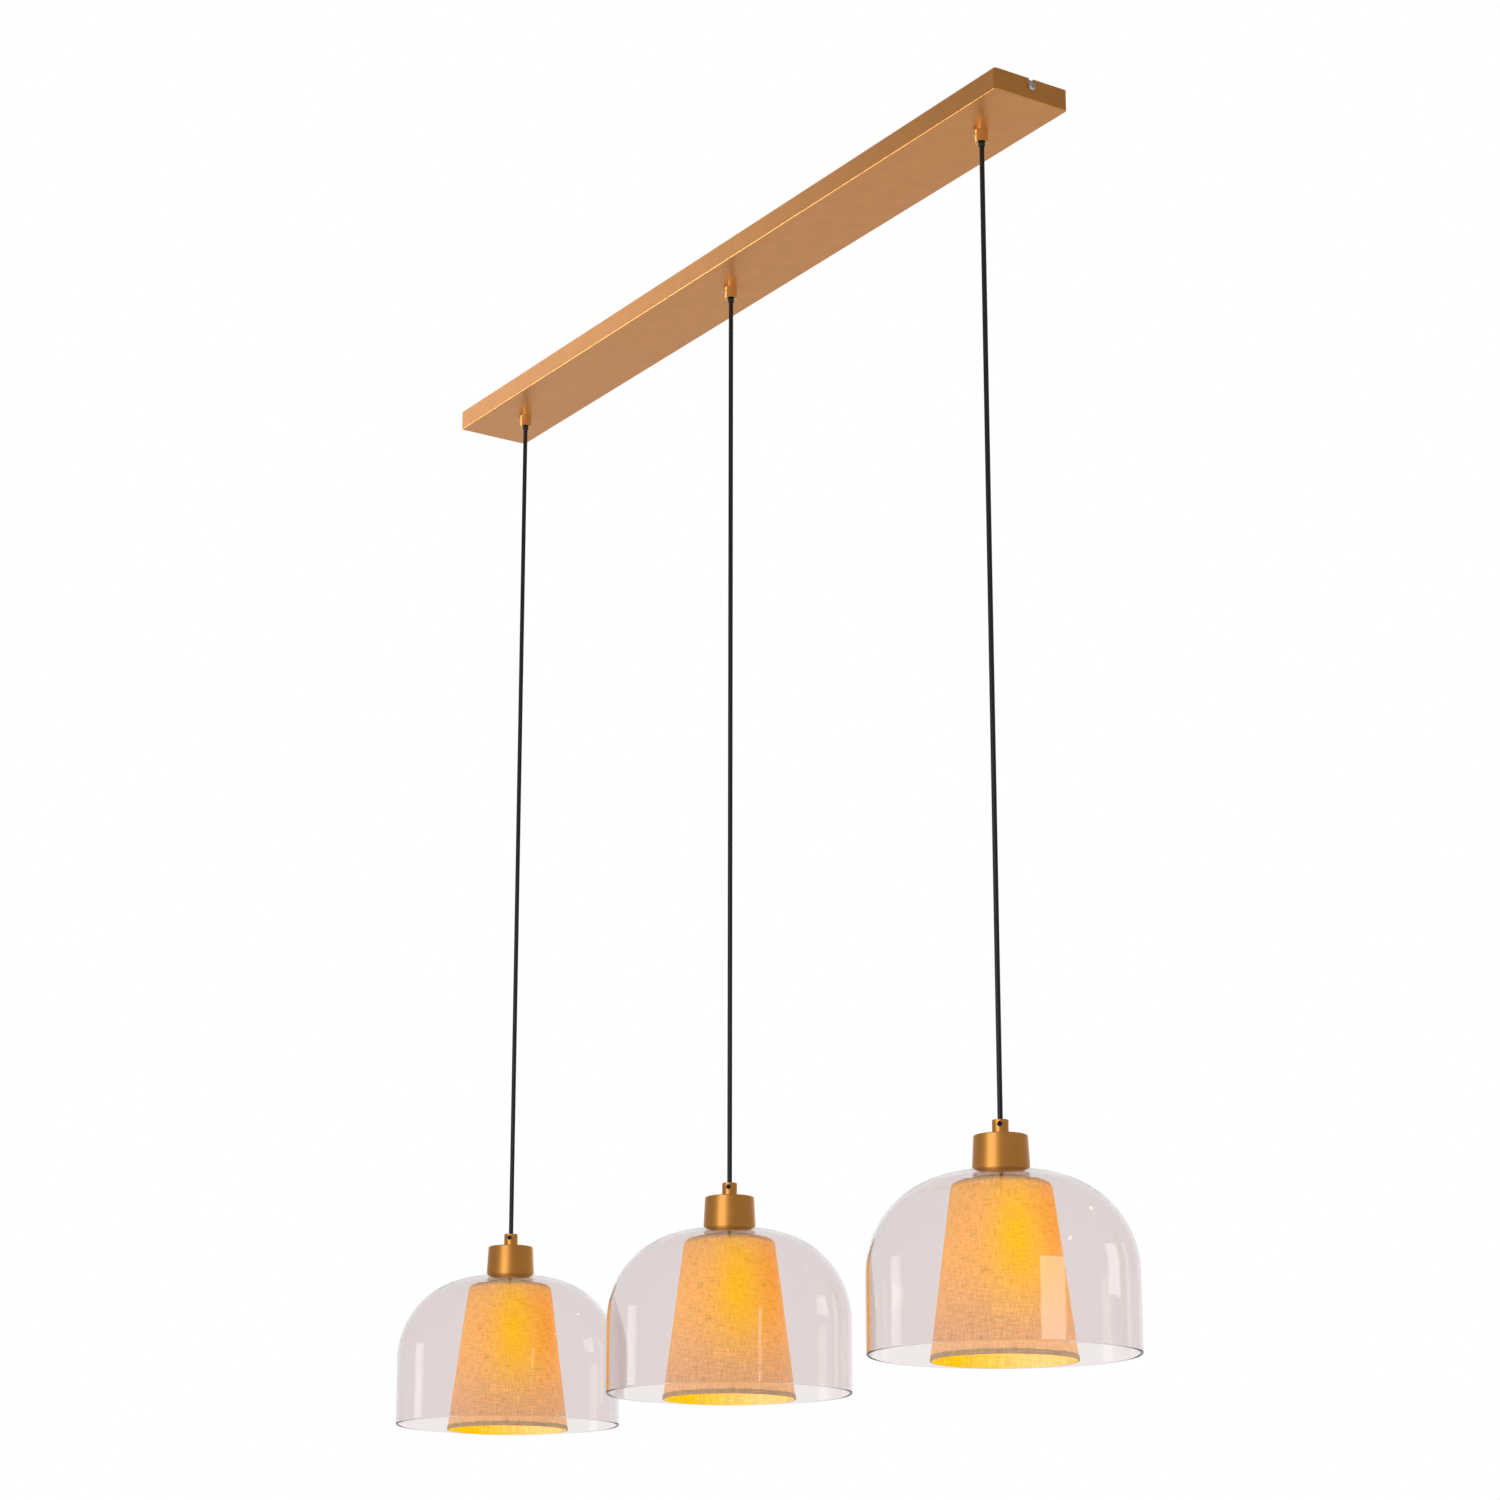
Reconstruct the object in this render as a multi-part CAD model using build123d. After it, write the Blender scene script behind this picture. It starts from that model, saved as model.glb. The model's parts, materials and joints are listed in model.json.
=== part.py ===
from build123d import *
import math
import os

# A three-light linear island pendant. A long painted steel canopy hides a strip bracket on the ceiling.
# Three cords leave it through metal grips, and each carries a cup, a clear glass dome and a linen shade.
# Millimetres, +Z up. The origin is the middle of the bracket's upper face, which lies on the ceiling.

os.makedirs("parts", exist_ok=True)

# General clearances
running_fit = 0.1          # a screw in its own hole
slip_fit = 0.25            # pieces of one assembly that push together
body_gap = 0.3             # between pieces that move past each other
cut_margin = 1.0           # how far a cutting tool runs past the face it cuts

# Canopy tray
canopy_length = 1200.0
canopy_width = 100.0
canopy_height = 25.0
canopy_wall = 1.2
canopy_corner_radius = 3.0
canopy_edge_radius = 1.0
cord_end_margin = 90.0     # from the canopy's end to the nearest cord

# Strip bracket on the ceiling, with a tab at each end for the end screw
bracket_wall = 1.5
bracket_width = 30.0
bracket_tab_depth = 17.0
bracket_bend_radius = 2.0
bracket_end_gap = 0.5
fixing_slot_spacing = 600.0
fixing_slot_width = 5.4
fixing_slot_length = 24.0
cable_hole_diameter = 14.0

# End screws
end_screw_depth = 9.6      # below the ceiling
end_screw_diameter = 5.0
end_screw_length = 12.0
end_head_diameter = 9.4
end_head_height = 3.2
cross_width = 1.2
cross_depth = 1.4
cross_span = 5.0

# Cord
cord_diameter = 5.6

# Cord grip under the canopy, with its threaded tail, nut, side screw and clamping ball
grip_diameter = 15.0
grip_height = 14.6
thread_diameter = 10.0
grip_tail_length = 10.5
nut_across_flats = 17.0
nut_height = 4.0
ball_radius = 4.6
ball_depth = 10.6          # centre of the ball below the canopy's underside
ball_lip_drop = 2.0        # the pocket's lip below the centre of the ball
grip_mouth_diameter = 12.6
cord_lean = 14.0           # the most that a cord leans in its ball, in degrees
cord_lean_room = 0.35      # extra radius in the ball's bore
side_screw_depth = 4.3
side_screw_diameter = 3.0
side_head_diameter = 4.2
side_head_height = 1.6
side_screw_angle = -123.0

# Bush on the cord below the grip
bush_diameter = 7.9
bush_tip_diameter = 6.8
bush_height = 3.5

# Drop from the ceiling to the glass rim
rim_drop = 1380.0

# Glass dome
dome_diameter = 280.0
dome_height = 188.0
dome_wall = 3.0
dome_shoulder_radius = 102.0
dome_crown_radius = 240.0
dome_rim_radius = 1.0
neck_land_margin = 1.5     # flat glass beyond the cup's rim

# Cup over the glass
cup_diameter = 59.0
cup_height = 37.5
cup_wall = 1.5
cup_edge_radius = 2.2

# Cap on the cup, which clamps the cord
cap_diameter = 17.2
cap_height = 15.3
cap_edge_radius = 0.6
cap_tail_length = 16.5
grub_diameter = 5.6
grub_length = 3.4
grub_drop = 5.2            # axis below the top of the cap
grub_angle = -41.5
grub_socket = 2.5

# Lampholder
holder_skirt_diameter = 39.5
holder_skirt_drop = 30.0   # below the top of the glass
holder_flange_diameter = 48.0
holder_flange_height = 2.5
holder_body_diameter = 37.0
holder_body_rise = 29.0    # above the top of the glass
holder_boss_diameter = 17.0
holder_boss_height = 3.0
holder_bore_diameter = 30.4
holder_bore_depth = 30.0
contact_shell_wall = 0.5
contact_shell_height = 22.0
contact_shell_inset = 2.0  # from the mouth of the lampholder
contact_button_diameter = 9.0
contact_button_height = 3.0

# Rings on the lampholder's skirt: a dished one holds the glass, a plain one the shade
dish_top_diameter = 57.0
dish_bottom_diameter = 48.0
dish_height = 4.6
dish_belly_width = 0.75    # the dish's roundest place, as shares of its step and its height
dish_belly_depth = 0.55
lock_ring_diameter = 47.0
lock_ring_height = 5.0

# Linen shade and its wire fitter
shade_bottom_diameter = 151.0
shade_top_diameter = 103.2
shade_height = 183.0
shade_overhang = 6.0       # below the glass rim
shade_wall = 1.4
shade_shoulder_radius = 8.0
hem_height = 5.0
hem_proud = 0.5
fitter_wire = 3.0
fitter_arm_wire = 3.6
fitter_plate_diameter = 58.0
fitter_plate_wall = 1.4
fitter_arm_count = 3
fitter_arm_angle = -30.0
weld_depth = 0.6           # how far an arm sinks into the plate above it

# Bulb
bulb_cap_diameter = 26.4
bulb_cap_height = 23.0
bulb_tip_diameter = 11.0
bulb_tip_height = 2.4
bulb_neck_diameter = 28.0
bulb_diameter = 60.0
bulb_globe_height = 80.0
bulb_globe_wall = 1.0
bulb_cap_wall = 0.8
bulb_contact_gap = 0.3

# Junction box on the canopy floor
box_x = 130.0
box_length = 76.0
box_width = 34.0
box_height = 15.0
box_corner_radius = 4.0
lid_height = 3.0
lid_overhang = 0.8
inlet_diameter = 9.0
inlet_depth = 8.0
lid_screw_diameter = 3.0
lid_screw_spacing = 60.0
lid_screw_length = 10.0
lid_head_diameter = 5.4
lid_head_height = 1.6

# Earth stud on the canopy floor
earth_x = -70.0
earth_y = -28.0
earth_thread = 4.0
earth_stud_height = 12.0
earth_head_diameter = 8.0
earth_nut_flats = 7.0
earth_nut_height = 3.2
earth_washer_diameter = 10.0
earth_washer_height = 0.8

# Places and levels
pendant_spacing = canopy_length / 2 - cord_end_margin
canopy_floor = -canopy_height + canopy_wall
underside = -canopy_height
grip_bottom = underside - grip_height
grip_top = underside + grip_tail_length
ball_level = underside - ball_depth
rim_level = -rim_drop
neck_level = rim_level + dome_height
cup_top = neck_level + cup_height
cap_top = cup_top + cap_height
holder_mouth = neck_level - holder_skirt_drop
holder_top = neck_level + holder_body_rise
cord_seat = cup_top - cap_tail_length
glass_under = neck_level - dome_wall
fitter_level = glass_under - dish_height
shade_bottom = rim_level - shade_overhang
shade_top = shade_bottom + shade_height

# Radii that several pieces share
cord_radius = cord_diameter / 2
cord_hole_radius = cord_radius + slip_fit
thread_radius = thread_diameter / 2
thread_hole_radius = thread_radius + slip_fit
skirt_radius = holder_skirt_diameter / 2
skirt_hole_radius = skirt_radius + slip_fit
cup_radius = cup_diameter / 2
pocket_radius = ball_radius + body_gap
neck_land_radius = cup_radius + neck_land_margin

pendant_places = {
    "left": -pendant_spacing,
    "middle": 0.0,
    "right": pendant_spacing,
}


def save(name, shape):
    shape.label = name
    export_step(shape, "parts/" + name + ".step")


def ring_profile(points):
    """A closed outline in the XZ plane from (radius, level) pairs."""
    corners = [(radius, 0, level) for radius, level in points]
    return make_face(Polyline(*corners, close=True))


def turned(points):
    return revolve(ring_profile(points), Axis.Z)


def tube(outer_radius, inner_radius, bottom, top):
    return turned([(inner_radius, bottom), (outer_radius, bottom), (outer_radius, top), (inner_radius, top)])


def rod(radius, bottom, top):
    return Pos(0, 0, (bottom + top) / 2) * Cylinder(radius, top - bottom)


def hexagon_nut(across_flats, bore_radius, bottom, height):
    blank = extrude(RegularPolygon(across_flats / 2, 6, major_radius=False), height)
    nut = Pos(0, 0, bottom) * blank
    return nut - rod(bore_radius, bottom - cut_margin, bottom + height + cut_margin)


def radial(shape, angle, level):
    """Turns a shape made along +Z so that it points outwards at an angle and level."""
    return Pos(0, 0, level) * Rot(0, 0, angle) * Rot(0, 90, 0) * shape


def rounded_block(length, width, bottom, top, corner_radius, edge_radius):
    block = Pos(0, 0, (bottom + top) / 2) * Box(length, width, top - bottom)
    block = fillet(block.edges().filter_by(Axis.Z), corner_radius)
    return fillet(block.faces().sort_by(Axis.Z)[0].edges(), edge_radius)


def end_notch():
    """The open slot in the canopy's end, which drops over the end screw."""
    width = end_screw_diameter + 2 * body_gap
    slot_height = end_screw_depth + cut_margin
    slot = Pos(0, 0, cut_margin - slot_height / 2) * Box(4 * canopy_wall, width, slot_height)
    round_end = Pos(0, 0, -end_screw_depth) * Rot(0, 90, 0) * Cylinder(width / 2, 4 * canopy_wall)
    return slot + round_end


def canopy_tray():
    outer = rounded_block(
        canopy_length, canopy_width, underside, 0, canopy_corner_radius, canopy_edge_radius
    )
    inner = Pos(0, 0, (canopy_floor + cut_margin) / 2) * Box(
        canopy_length - 2 * canopy_wall, canopy_width - 2 * canopy_wall, cut_margin - canopy_floor
    )
    inner = fillet(inner.edges().filter_by(Axis.Z), canopy_corner_radius - canopy_wall)
    tray = outer - inner
    for x in pendant_places.values():
        tray -= Pos(x, 0, 0) * rod(thread_hole_radius, underside - cut_margin, canopy_floor + cut_margin)
    for side in (-1, 1):
        tray -= Pos(side * (canopy_length - canopy_wall) / 2, 0, 0) * end_notch()
    return tray


def ceiling_bracket():
    length = canopy_length - 2 * canopy_wall - 2 * bracket_end_gap
    outline = Rectangle(length, bracket_tab_depth, align=(Align.CENTER, Align.MAX))
    hollow = Pos(0, -bracket_wall) * Rectangle(
        length - 2 * bracket_wall, bracket_tab_depth, align=(Align.CENTER, Align.MAX)
    )
    outline = fillet(outline.vertices().group_by(Axis.Y)[-1], bracket_bend_radius)
    hollow = fillet(hollow.vertices().group_by(Axis.Y)[-1], bracket_bend_radius - bracket_wall)
    bracket = extrude(Plane.XZ * (outline - hollow), bracket_width / 2, both=True)
    slot = Pos(0, 0, -bracket_wall) * extrude(
        SlotOverall(fixing_slot_length, fixing_slot_width), bracket_wall + cut_margin
    )
    slot = Pos(0, 0, -cut_margin / 2) * slot
    for side in (-1, 1):
        bracket -= Pos(side * fixing_slot_spacing / 2, 0, 0) * slot
        bracket -= Pos(side * length / 2, 0, -end_screw_depth) * Rot(0, 90, 0) * Cylinder(
            end_screw_diameter / 2 + running_fit, 4 * bracket_wall
        )
    return bracket - Pos(box_x, 0, 0) * rod(cable_hole_diameter / 2, -bracket_wall - cut_margin, cut_margin)


def cross_recess(top):
    """The crossed slots in a screw head that points up, cut from the level of its top."""
    slot = Pos(0, 0, top - cross_depth / 2) * Box(cross_span, cross_width, cross_depth)
    return slot + Rot(0, 0, 90) * slot


def end_screw():
    """Made standing on its tip's axis, with the underside of the head at zero."""
    head = turned([
        (0, 0),
        (end_head_diameter / 2, 0),
        (end_head_diameter / 2, end_head_height / 2),
        (end_head_diameter / 2 - end_head_height / 2, end_head_height),
        (0, end_head_height),
    ])
    return head + rod(end_screw_diameter / 2, -end_screw_length, 0) - cross_recess(end_head_height)


def grip_body():
    half_mouth = grip_mouth_diameter / 2
    pocket_top = ball_level + math.sqrt(pocket_radius**2 - cord_hole_radius**2)
    lip_level = ball_level - ball_lip_drop
    lip_radius = math.sqrt(pocket_radius**2 - ball_lip_drop**2)
    outline = [
        Polyline(
            (lip_radius, 0, lip_level),
            (half_mouth, 0, grip_bottom),
            (grip_diameter / 2, 0, grip_bottom),
            (grip_diameter / 2, 0, underside),
            (thread_radius, 0, underside),
            (thread_radius, 0, grip_top),
            (cord_hole_radius, 0, grip_top),
            (cord_hole_radius, 0, pocket_top),
        ),
        ThreePointArc(
            (cord_hole_radius, 0, pocket_top),
            (pocket_radius, 0, ball_level),
            (lip_radius, 0, lip_level),
        ),
    ]
    body = revolve(make_face(outline), Axis.Z)
    hole = Pos(0, 0, grip_diameter / 2) * Cylinder(side_screw_diameter / 2 + running_fit, grip_diameter)
    return body - radial(hole, side_screw_angle, underside - side_screw_depth)


def side_screw():
    shank_start = cord_hole_radius
    head_start = grip_diameter / 2 + running_fit
    shank = rod(side_screw_diameter / 2, shank_start, head_start)
    head = rod(side_head_diameter / 2, head_start, head_start + side_head_height)
    return radial(shank + head, side_screw_angle, underside - side_screw_depth)


def grip_ball():
    """Its bore opens out below the centre, so that the cord can lean."""
    bore_radius = cord_hole_radius + cord_lean_room
    depth = 2 * ball_radius
    mouth_radius = bore_radius + depth * math.tan(math.radians(cord_lean))
    bore = rod(bore_radius, ball_level, ball_level + depth)
    mouth = Pos(0, 0, ball_level - depth / 2) * Cone(mouth_radius, bore_radius, depth)
    return Pos(0, 0, ball_level) * Sphere(ball_radius) - bore - mouth


def cord_bush():
    top = ball_level - pocket_radius - running_fit
    return turned([
        (cord_radius + running_fit, top - bush_height),
        (bush_tip_diameter / 2, top - bush_height),
        (bush_diameter / 2, top - bush_height / 2),
        (bush_diameter / 2, top),
        (cord_radius + running_fit, top),
    ])


def hanging_cord():
    return rod(cord_radius, cord_seat, ball_level)


def cord_cap():
    body = turned([
        (cord_hole_radius, cord_seat),
        (thread_radius, cord_seat),
        (thread_radius, cup_top),
        (cap_diameter / 2, cup_top),
        (cap_diameter / 2, cap_top),
        (cord_hole_radius, cap_top),
    ])
    rim = body.edges().filter_by(GeomType.CIRCLE).group_by(Axis.Z)[-1].sort_by(SortBy.RADIUS)[-1]
    body = fillet(rim, cap_edge_radius)
    hole = Pos(0, 0, cap_diameter / 2) * Cylinder(grub_diameter / 2 + running_fit, cap_diameter)
    return body - radial(hole, grub_angle, cap_top - grub_drop)


def grub_screw():
    start = cord_hole_radius
    screw = rod(grub_diameter / 2, start, start + grub_length)
    socket = extrude(RegularPolygon(grub_socket / 2, 6, major_radius=False), grub_length / 2)
    screw -= Pos(0, 0, start + grub_length / 2) * socket
    return radial(screw, grub_angle, cap_top - grub_drop)


def cup():
    edge = cup_edge_radius
    inner_edge = cup_edge_radius - cup_wall / 2
    inner_radius = cup_radius - cup_wall
    inner_top = cup_top - cup_wall
    turn = math.sqrt(0.5)
    outline = [
        Polyline(
            (thread_hole_radius, 0, cup_top),
            (thread_hole_radius, 0, inner_top),
            (inner_radius - inner_edge, 0, inner_top),
        ),
        ThreePointArc(
            (inner_radius - inner_edge, 0, inner_top),
            (inner_radius - inner_edge * (1 - turn), 0, inner_top - inner_edge * (1 - turn)),
            (inner_radius, 0, inner_top - inner_edge),
        ),
        Polyline(
            (inner_radius, 0, inner_top - inner_edge),
            (inner_radius, 0, neck_level),
            (cup_radius, 0, neck_level),
            (cup_radius, 0, cup_top - edge),
        ),
        ThreePointArc(
            (cup_radius, 0, cup_top - edge),
            (cup_radius - edge * (1 - turn), 0, cup_top - edge * (1 - turn)),
            (cup_radius - edge, 0, cup_top),
        ),
        Line((cup_radius - edge, 0, cup_top), (thread_hole_radius, 0, cup_top)),
    ]
    return revolve(make_face(outline), Axis.Z)


def lampholder():
    body_radius = holder_body_diameter / 2
    boss_radius = holder_boss_diameter / 2
    flange_radius = holder_flange_diameter / 2
    boss_top = holder_top + holder_boss_height
    flange_top = neck_level + holder_flange_height
    slope_start = holder_top - (body_radius - boss_radius) / 2
    body = turned([
        (0, cord_seat),
        (thread_hole_radius, cord_seat),
        (thread_hole_radius, boss_top),
        (boss_radius, boss_top),
        (boss_radius, holder_top),
        (body_radius, slope_start),
        (body_radius, flange_top),
        (flange_radius, flange_top),
        (flange_radius, neck_level),
        (skirt_radius, neck_level),
        (skirt_radius, holder_mouth),
        (holder_bore_diameter / 2, holder_mouth),
        (holder_bore_diameter / 2, holder_mouth + holder_bore_depth),
        (0, holder_mouth + holder_bore_depth),
    ])
    return body


def lampholder_contacts():
    outer = holder_bore_diameter / 2 - running_fit
    bottom = holder_mouth + contact_shell_inset
    shell = tube(outer, outer - contact_shell_wall, bottom, bottom + contact_shell_height)
    bore_end = holder_mouth + holder_bore_depth
    button = rod(contact_button_diameter / 2, bore_end - contact_button_height, bore_end)
    return Compound([shell, button])


def shade_rings():
    """The dished ring that holds the glass up, and the plain ring that holds the fitter up."""
    top_radius = dish_top_diameter / 2
    bottom_radius = dish_bottom_diameter / 2
    belly_radius = bottom_radius + dish_belly_width * (top_radius - bottom_radius)
    belly_level = glass_under - dish_belly_depth * dish_height
    outline = [
        Polyline(
            (bottom_radius, 0, fitter_level),
            (skirt_hole_radius, 0, fitter_level),
            (skirt_hole_radius, 0, glass_under),
            (top_radius, 0, glass_under),
        ),
        ThreePointArc(
            (top_radius, 0, glass_under),
            (belly_radius, 0, belly_level),
            (bottom_radius, 0, fitter_level),
        ),
    ]
    dish = revolve(make_face(outline), Axis.Z)
    lock_top = fitter_level - fitter_plate_wall
    lock = tube(lock_ring_diameter / 2, skirt_hole_radius, lock_top - lock_ring_height, lock_top)
    return Compound([dish, lock])


def dome_side(inset):
    """The dome's outline from rim to neck, moved inwards by inset: wall, shoulder, crown and land."""
    side_radius = dome_diameter / 2 - inset
    shoulder = dome_shoulder_radius - inset
    crown = dome_crown_radius - inset
    shoulder_x = side_radius - shoulder
    crown_level = neck_level - math.sqrt(dome_crown_radius**2 - neck_land_radius**2)
    shoulder_level = crown_level + math.sqrt((crown - shoulder) ** 2 - shoulder_x**2)
    join = math.atan2(shoulder_level - crown_level, shoulder_x)
    land_level = neck_level - inset
    land_x = math.sqrt(crown**2 - (land_level - crown_level) ** 2)
    land_angle = math.acos(land_x / crown)

    def shoulder_point(angle):
        return (shoulder_x + shoulder * math.cos(angle), 0, shoulder_level + shoulder * math.sin(angle))

    def crown_point(angle):
        return (crown * math.cos(angle), 0, crown_level + crown * math.sin(angle))

    return [
        Line((side_radius, 0, rim_level), shoulder_point(0)),
        ThreePointArc(shoulder_point(0), shoulder_point(join / 2), shoulder_point(join)),
        ThreePointArc(crown_point(join), crown_point((join + land_angle) / 2), crown_point(land_angle)),
        Line(crown_point(land_angle), (skirt_hole_radius, 0, land_level)),
    ]


def glass_dome():
    outer = dome_side(0)
    inner = dome_side(dome_wall)
    rim = Line((dome_diameter / 2, 0, rim_level), (dome_diameter / 2 - dome_wall, 0, rim_level))
    neck = Line((skirt_hole_radius, 0, neck_level), (skirt_hole_radius, 0, glass_under))
    dome = revolve(make_face(outer + inner + [rim, neck]), Axis.Z)
    rim_edges = dome.edges().filter_by(GeomType.CIRCLE).group_by(Axis.Z)[0]
    return fillet(rim_edges, dome_rim_radius)


def shade_fitter():
    """A wire ring at the top of the linen, three arms and the plate that sits on the lampholder's skirt."""
    ring_radius = shade_lip_radius() - running_fit - fitter_wire / 2
    ring_level = shade_top - fitter_wire / 2
    plate_bottom = fitter_level - fitter_plate_wall
    plate = tube(fitter_plate_diameter / 2, skirt_hole_radius, plate_bottom, fitter_level)
    ring = Pos(0, 0, ring_level) * Torus(ring_radius, fitter_wire / 2)
    arm_level = plate_bottom + weld_depth - fitter_arm_wire / 2
    arm_start = (fitter_plate_diameter / 2 - fitter_arm_wire, 0, arm_level)
    arm_path = Line(arm_start, (ring_radius, 0, ring_level))
    arm = sweep(Plane(arm_path @ 0, z_dir=arm_path % 0) * Circle(fitter_arm_wire / 2), arm_path)
    fitter = plate + ring
    for number in range(fitter_arm_count):
        fitter += Rot(0, 0, fitter_arm_angle + number * 360 / fitter_arm_count) * arm
    return fitter


def shade_slope():
    """How far the linen leans from upright, in radians."""
    return math.atan2((shade_bottom_diameter - shade_top_diameter) / 2, shade_height)


def shade_lip_radius():
    """Where the rounded shoulder of the linen becomes level, at the wire ring."""
    half_turn = (math.pi / 2 - shade_slope()) / 2
    return shade_top_diameter / 2 - shade_shoulder_radius * math.tan(half_turn)


def linen_shade():
    slope = shade_slope()
    lip = shade_lip_radius()
    bottom_radius = shade_bottom_diameter / 2

    def shoulder_point(radius, angle):
        centre_level = shade_top - shade_shoulder_radius
        return (lip + radius * math.cos(angle), 0, centre_level + radius * math.sin(angle))

    def wall_point(offset, level):
        """On the sloping wall, moved outwards by offset."""
        rise = level - shade_bottom
        return (bottom_radius - rise * math.tan(slope) + offset / math.cos(slope), 0, level)

    inner_radius = shade_shoulder_radius - shade_wall
    hem_top = shade_bottom + hem_height
    middle = (slope + math.pi / 2) / 2
    outer_start = shoulder_point(shade_shoulder_radius, slope)
    outer_end = shoulder_point(shade_shoulder_radius, math.pi / 2)
    inner_start = shoulder_point(inner_radius, slope)
    inner_end = shoulder_point(inner_radius, math.pi / 2)
    outline = [
        Polyline(
            inner_start,
            wall_point(-shade_wall, hem_top),
            wall_point(-shade_wall - hem_proud, hem_top),
            wall_point(-shade_wall - hem_proud, shade_bottom),
            wall_point(hem_proud, shade_bottom),
            wall_point(hem_proud, hem_top),
            wall_point(0, hem_top),
            outer_start,
        ),
        ThreePointArc(outer_start, shoulder_point(shade_shoulder_radius, middle), outer_end),
        Line(outer_end, inner_end),
        ThreePointArc(inner_end, shoulder_point(inner_radius, middle), inner_start),
    ]
    return revolve(make_face(outline), Axis.Z)


bulb_top = holder_mouth + holder_bore_depth - contact_button_height - bulb_contact_gap
bulb_cap_bottom = bulb_top - bulb_cap_height


def bulb_cap():
    """A thin screw cap, open to the globe below."""
    radius = bulb_cap_diameter / 2
    tip_radius = bulb_tip_diameter / 2
    shoulder = bulb_top - bulb_tip_height
    side_top = shoulder - bulb_tip_height
    return turned([
        (radius - bulb_cap_wall, bulb_cap_bottom),
        (radius, bulb_cap_bottom),
        (radius, side_top),
        (tip_radius, shoulder),
        (tip_radius, bulb_top),
        (0, bulb_top),
        (0, shoulder - bulb_cap_wall),
        (tip_radius, shoulder - bulb_cap_wall),
        (radius - bulb_cap_wall, side_top - bulb_cap_wall),
    ])


def bulb_side(inset):
    """The bulb's outline moved inwards by inset: a round globe, then a hollow waist up to the cap."""
    globe_radius = bulb_diameter / 2
    neck_radius = bulb_neck_diameter / 2
    centre = bulb_cap_bottom - bulb_globe_height + globe_radius
    rise = bulb_cap_bottom - centre
    waist_radius = (rise**2 + neck_radius**2 - globe_radius**2) / (2 * (globe_radius - neck_radius))
    waist_x = neck_radius + waist_radius
    join = math.atan2(rise, waist_x)
    globe_inset = globe_radius - inset
    waist_inset = waist_radius + inset

    def globe_point(angle):
        return (globe_inset * math.cos(angle), 0, centre + globe_inset * math.sin(angle))

    def waist_point(angle):
        return (waist_x - waist_inset * math.cos(angle), 0, bulb_cap_bottom - waist_inset * math.sin(angle))

    bottom = -math.pi / 2
    return [
        ThreePointArc(globe_point(bottom), globe_point((join + bottom) / 2), globe_point(join)),
        ThreePointArc(waist_point(join), waist_point(join / 2), waist_point(0)),
    ]


def bulb_globe():
    outer = bulb_side(0)
    inner = bulb_side(bulb_globe_wall)
    bottom = Line(outer[0] @ 0, inner[0] @ 0)
    neck = Line(outer[1] @ 1, inner[1] @ 1)
    return revolve(make_face(outer + inner + [bottom, neck]), Axis.Z)


def junction_box():
    body = Pos(0, 0, canopy_floor + box_height / 2) * Box(box_length, box_width, box_height)
    body = fillet(body.edges().filter_by(Axis.Z), box_corner_radius)
    top = canopy_floor + box_height
    for side in (-1, 1):
        body -= Pos(side * lid_screw_spacing / 2, 0, 0) * rod(
            lid_screw_diameter / 2 + running_fit, top + lid_height - lid_screw_length, top + cut_margin
        )
    body -= rod(inlet_diameter / 2, top - inlet_depth, top + cut_margin)
    return Pos(box_x, 0, 0) * body


def junction_lid():
    bottom = canopy_floor + box_height
    lid = Pos(0, 0, bottom + lid_height / 2) * Box(
        box_length + 2 * lid_overhang, box_width + 2 * lid_overhang, lid_height
    )
    lid = fillet(lid.edges().filter_by(Axis.Z), box_corner_radius + lid_overhang)
    for side in (-1, 1):
        lid -= Pos(side * lid_screw_spacing / 2, 0, 0) * rod(
            lid_screw_diameter / 2 + running_fit, bottom - cut_margin, bottom + lid_height + cut_margin
        )
    lid -= rod(inlet_diameter / 2, bottom - cut_margin, bottom + lid_height + cut_margin)
    return Pos(box_x, 0, 0) * lid


def lid_screws():
    top = canopy_floor + box_height + lid_height
    screw = rod(lid_screw_diameter / 2, top - lid_screw_length, top)
    screw += rod(lid_head_diameter / 2, top, top + lid_head_height)
    return Compound([Pos(box_x + side * lid_screw_spacing / 2, 0, 0) * screw for side in (-1, 1)])


def earth_stud():
    """A stud through the canopy floor's inside face, with its foot welded on."""
    foot_top = canopy_floor + earth_washer_height
    stud = rod(earth_head_diameter / 2, canopy_floor, foot_top)
    stud += rod(earth_thread / 2, foot_top, canopy_floor + earth_stud_height)
    return Pos(earth_x, earth_y, 0) * stud


def earth_nut():
    washer_bottom = canopy_floor + earth_washer_height
    washer_top = washer_bottom + earth_washer_height
    bore = earth_thread / 2 + running_fit
    washer = tube(earth_washer_diameter / 2, bore, washer_bottom, washer_top)
    nut = hexagon_nut(earth_nut_flats, bore, washer_top, earth_nut_height)
    return Pos(earth_x, earth_y, 0) * Compound([washer, nut])


# The cords inside the canopy. Each leaves its grip upwards, bends over and lies on the floor to the box.
tail_start = ball_level + pocket_radius
tail_run = 4.7             # each short run of the bend
tail_clear = 2.5           # straight cord above the grip's tail
tail_bend_level = grip_top + tail_clear
tail_floor = canopy_floor + cord_radius + slip_fit
tail_arc_share = 0.45
sin_30 = 0.5
cos_30 = math.sqrt(0.75)
tail_bend = [
    (0.0, 0.0, tail_start),
    (0.0, 0.0, tail_bend_level),
    (tail_run * sin_30, 0.0, tail_bend_level + tail_run * cos_30),
    (tail_run * (sin_30 + cos_30), 0.0, tail_bend_level + tail_run * (cos_30 + sin_30)),
]
tail_crest = tail_bend[-1][2]
tail_fall = [
    (15.0, 0.9, tail_crest - 0.4),
    (32.0, 3.4, tail_crest - 3.8),
    (55.0, 7.0, tail_floor + 1.6),
]
box_near_end = box_x - box_length / 2
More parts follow.
